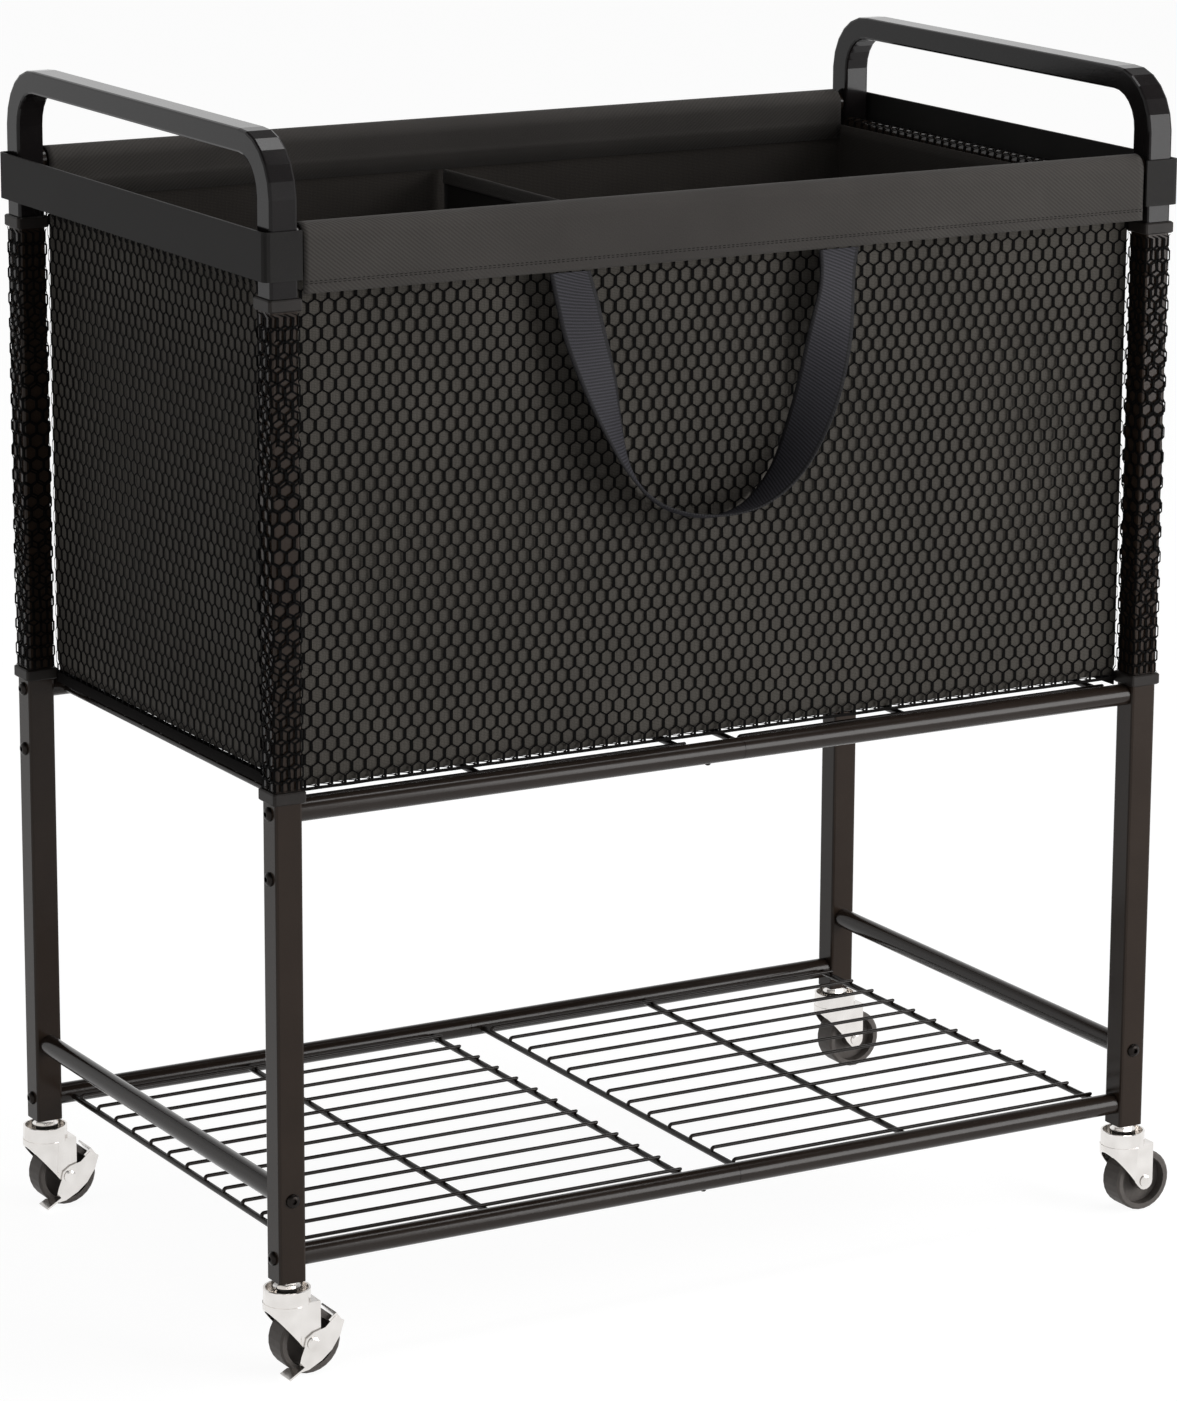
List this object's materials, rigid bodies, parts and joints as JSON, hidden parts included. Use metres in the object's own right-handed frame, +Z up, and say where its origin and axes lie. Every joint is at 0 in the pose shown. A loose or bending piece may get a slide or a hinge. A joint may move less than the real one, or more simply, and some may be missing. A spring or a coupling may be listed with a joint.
{
  "type": "rolling laundry hamper",
  "caption": "Rolling laundry hamper: black tube frame on swivel casters, with push handles, wire racks, carry straps and a divided cloth bag in a net.",
  "frame": {"origin": "centre of the bounding box on the floor under the wheels", "axes": "+X along the width towards the casters without brakes, +Y from the front strap's side to the rear, +Z up"},
  "size_m": [0.8156, 0.4928, 0.9276],
  "materials": {
    "powder_coated_tube": "satin black powder coat",
    "powder_coated_wire": "satin black powder coat",
    "black_plastic": "matte",
    "net_polyester": "black hexagonal net",
    "liner_oxford": "woven cloth, charcoal",
    "hem_canvas": "woven cloth, dark grey",
    "strap_webbing": "ribbed webbing, dark grey",
    "bright_plated_steel": "bright zinc or chrome plate",
    "wheel_rubber": "satin black"
  },
  "bodies": {
    "frame": {"lower_leg_front_left": "powder_coated_tube", "upper_post_front_left": "powder_coated_tube", "lower_collar_front_left": "black_plastic", "upper_collar_front_left": "black_plastic", "mesh_sleeve_front_left": "net_polyester", "caster_stem_front_left": "bright_plated_steel", "lower_leg_front_right": "powder_coated_tube", "upper_post_front_right": "powder_coated_tube", "lower_collar_front_right": "black_plastic", "upper_collar_front_right": "black_plastic", "mesh_sleeve_front_right": "net_polyester", "caster_stem_front_right": "bright_plated_steel", "lower_leg_rear_left": "powder_coated_tube", "upper_post_rear_left": "powder_coated_tube", "lower_collar_rear_left": "black_plastic", "upper_collar_rear_left": "black_plastic", "mesh_sleeve_rear_left": "net_polyester", "caster_stem_rear_left": "bright_plated_steel", "lower_leg_rear_right": "powder_coated_tube", "upper_post_rear_right": "powder_coated_tube", "lower_collar_rear_right": "black_plastic", "upper_collar_rear_right": "black_plastic", "mesh_sleeve_rear_right": "net_polyester", "caster_stem_rear_right": "bright_plated_steel", "push_handle_left": "powder_coated_tube", "end_band_left": "powder_coated_tube", "side_rail_left": "powder_coated_tube", "end_rod_left": "powder_coated_tube", "lower_rack_left": "powder_coated_wire", "upper_rack_left": "powder_coated_wire", "push_handle_right": "powder_coated_tube", "end_band_right": "powder_coated_tube", "side_rail_right": "powder_coated_tube", "end_rod_right": "powder_coated_tube", "lower_rack_right": "powder_coated_wire", "upper_rack_right": "powder_coated_wire", "top_rail_front": "powder_coated_tube", "hem_front": "hem_canvas", "top_rail_rear": "powder_coated_tube", "hem_rear": "hem_canvas", "mesh_shell": "net_polyester", "liner_bag": "liner_oxford", "liner_divider": "liner_oxford"},
    "fork_front_left": {"caster_fork_front_left": "bright_plated_steel", "caster_axle_front_left": "bright_plated_steel"},
    "wheel_front_left": {"caster_wheel_front_left": "wheel_rubber"},
    "brake_front_left": {"brake_lever_front_left": "bright_plated_steel"},
    "fork_front_right": {"caster_fork_front_right": "bright_plated_steel", "caster_axle_front_right": "bright_plated_steel"},
    "wheel_front_right": {"caster_wheel_front_right": "wheel_rubber"},
    "fork_rear_left": {"caster_fork_rear_left": "bright_plated_steel", "caster_axle_rear_left": "bright_plated_steel"},
    "wheel_rear_left": {"caster_wheel_rear_left": "wheel_rubber"},
    "brake_rear_left": {"brake_lever_rear_left": "bright_plated_steel"},
    "fork_rear_right": {"caster_fork_rear_right": "bright_plated_steel", "caster_axle_rear_right": "bright_plated_steel"},
    "wheel_rear_right": {"caster_wheel_rear_right": "wheel_rubber"},
    "strap_loop_front": {"strap_front": "strap_webbing"},
    "strap_loop_rear": {"strap_rear": "strap_webbing"}
  },
  "joints": [
    {"name": "swivel_front_left", "type": "hinge", "parent": "frame", "child": "fork_front_left", "pos_m": [-0.38925, -0.218, 0.057], "axis": [0, 0, 1], "continuous": true},
    {"name": "spin_front_left", "type": "hinge", "parent": "fork_front_left", "child": "wheel_front_left", "pos_m": [-0.37525, -0.218, 0.025], "axis": [0, 1, 0], "continuous": true},
    {"name": "brake_front_left", "type": "hinge", "parent": "fork_front_left", "child": "brake_front_left", "pos_m": [-0.37525, -0.218, 0.025], "axis": [0, 1, 0], "range_deg": [0, 15]},
    {"name": "swivel_front_right", "type": "hinge", "parent": "frame", "child": "fork_front_right", "pos_m": [0.36875, -0.218, 0.057], "axis": [0, 0, 1], "continuous": true},
    {"name": "spin_front_right", "type": "hinge", "parent": "fork_front_right", "child": "wheel_front_right", "pos_m": [0.38275, -0.218, 0.025], "axis": [0, 1, 0], "continuous": true},
    {"name": "swivel_rear_left", "type": "hinge", "parent": "frame", "child": "fork_rear_left", "pos_m": [-0.38925, 0.218, 0.057], "axis": [0, 0, 1], "continuous": true},
    {"name": "spin_rear_left", "type": "hinge", "parent": "fork_rear_left", "child": "wheel_rear_left", "pos_m": [-0.37525, 0.218, 0.025], "axis": [0, 1, 0], "continuous": true},
    {"name": "brake_rear_left", "type": "hinge", "parent": "fork_rear_left", "child": "brake_rear_left", "pos_m": [-0.37525, 0.218, 0.025], "axis": [0, 1, 0], "range_deg": [0, 15]},
    {"name": "swivel_rear_right", "type": "hinge", "parent": "frame", "child": "fork_rear_right", "pos_m": [0.36875, 0.218, 0.057], "axis": [0, 0, 1], "continuous": true},
    {"name": "spin_rear_right", "type": "hinge", "parent": "fork_rear_right", "child": "wheel_rear_right", "pos_m": [0.38275, 0.218, 0.025], "axis": [0, 1, 0], "continuous": true},
    {"name": "strap_lift_front", "type": "hinge", "parent": "frame", "child": "strap_loop_front", "pos_m": [-0.03275, -0.2289, 0.8136], "axis": [-1, 0, 0], "range_deg": [0, 150]},
    {"name": "strap_lift_rear", "type": "hinge", "parent": "frame", "child": "strap_loop_rear", "pos_m": [-0.03275, 0.2289, 0.8136], "axis": [1, 0, 0], "range_deg": [0, 150]}
  ]
}
